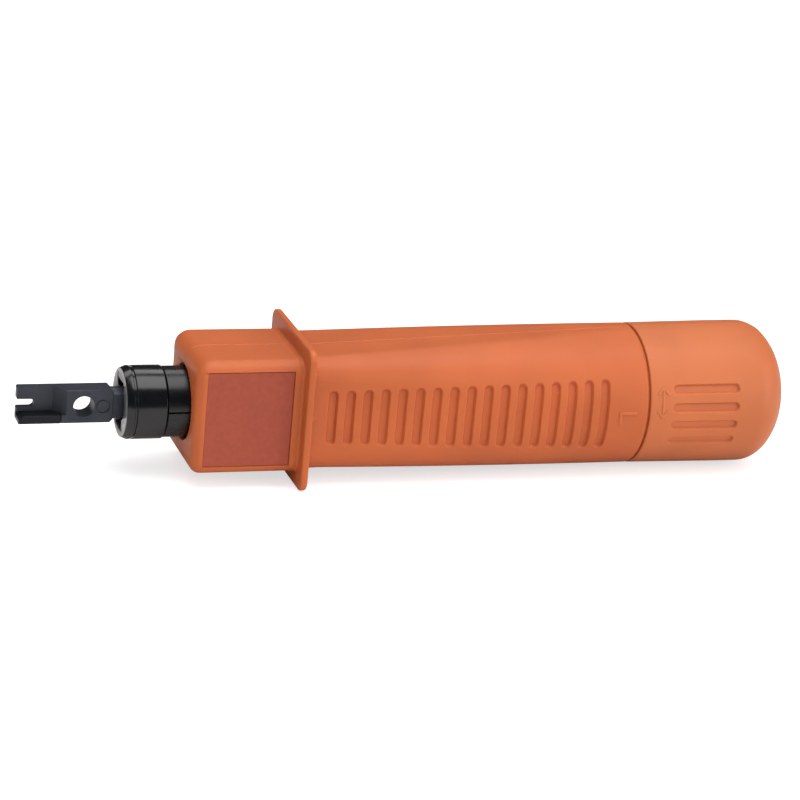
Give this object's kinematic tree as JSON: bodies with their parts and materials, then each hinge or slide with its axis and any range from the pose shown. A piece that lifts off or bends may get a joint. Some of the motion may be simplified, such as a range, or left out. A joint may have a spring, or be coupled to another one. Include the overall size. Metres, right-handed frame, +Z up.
{
  "type": "punch down tool",
  "caption": "Impact punch-down tool with a square-to-round plastic grip, finger guard, sliding blade chuck and turning end cap.",
  "frame": {"origin": "middle of the tool's box, on the tool's axis", "axes": "+X along the tool's axis from the blade to the end cap, -Y out of the side with the label and the L mark, +Z up, with the cutter on the blade's lower edge and the shells' seam in the plane Y = 0"},
  "size_m": [0.1818, 0.0336, 0.0336],
  "materials": {
    "grip_plastic": "satin moulded orange plastic",
    "cap_plastic": "satin moulded lighter orange plastic",
    "label_film": "matte red-brown film",
    "white_acetal": "smooth machined acetal",
    "bright_steel": "turned and ground",
    "black_screw": "black zinc",
    "spring_steel": "drawn spring wire",
    "black_chuck": "turned, black oxide, oiled",
    "black_blade": "milled, black oxide"
  },
  "bodies": {
    "housing": {"near_shell": "grip_plastic", "far_shell": "grip_plastic", "near_label": "label_film", "far_label": "label_film", "front_bushing": "white_acetal", "guide_tube": "bright_steel", "release_cam": "bright_steel", "spring_washer": "bright_steel", "shell_screw_1": "black_screw", "shell_screw_2": "black_screw", "shell_screw_3": "black_screw", "shell_screw_4": "black_screw", "return_spring": "spring_steel", "main_spring": "spring_steel"},
    "plunger": {"chuck": "black_chuck", "chuck_sleeve": "black_chuck", "plunger_rod": "bright_steel", "cross_pin": "bright_steel", "catch_ball": "bright_steel", "catch_spring": "spring_steel"},
    "blade": {"blade_bar": "black_blade", "cutter_blade": "black_blade"},
    "hammer": {"hammer": "bright_steel", "latch_spring": "spring_steel"},
    "latch": {"latch_plate": "bright_steel"},
    "cap": {"end_cap": "cap_plastic", "cap_hub": "white_acetal", "retaining_ring": "spring_steel", "adjuster_screw": "bright_steel"},
    "spring_seat": {"spring_seat_nut": "bright_steel"}
  },
  "joints": [
    {"name": "plunger_stroke", "type": "slide", "parent": "housing", "child": "plunger", "axis": [1, 0, 0], "range_m": [0, 0.01], "stiffness_N_per_m": 350, "springref_m": -0.02, "deforming": ["return_spring"]},
    {"name": "hammer_stroke", "type": "slide", "parent": "housing", "child": "hammer", "axis": [1, 0, 0], "range_m": [0, 0.01], "stiffness_N_per_m": 3700, "springref_m": -0.004, "deforming": ["main_spring"]},
    {"name": "latch_shift", "type": "slide", "parent": "hammer", "child": "latch", "axis": [0, 0, 1], "range_m": [0, 0.0015], "stiffness_N_per_m": 300, "springref_m": -0.001, "deforming": ["latch_spring"]},
    {"name": "blade_twist", "type": "hinge", "parent": "plunger", "child": "blade", "pos_m": [-0.06775, 0, 0], "axis": [1, 0, 0], "range_deg": [0, 90]},
    {"name": "cap_twist", "type": "hinge", "parent": "housing", "child": "cap", "pos_m": [0.05265, 0, 0], "axis": [1, 0, 0], "range_deg": [0, 180]},
    {"name": "seat_travel", "type": "slide", "parent": "housing", "child": "spring_seat", "axis": [-1, 0, 0], "range_m": [0, 0.003]}
  ],
  "couplings": [
    {"joint": "hammer_stroke", "follows": "plunger_stroke", "ratio": 1},
    {"joint": "latch_shift", "follows": "plunger_stroke", "ratio": 0.15},
    {"joint": "seat_travel", "follows": "cap_twist", "m_per_rad": 0.00095}
  ]
}
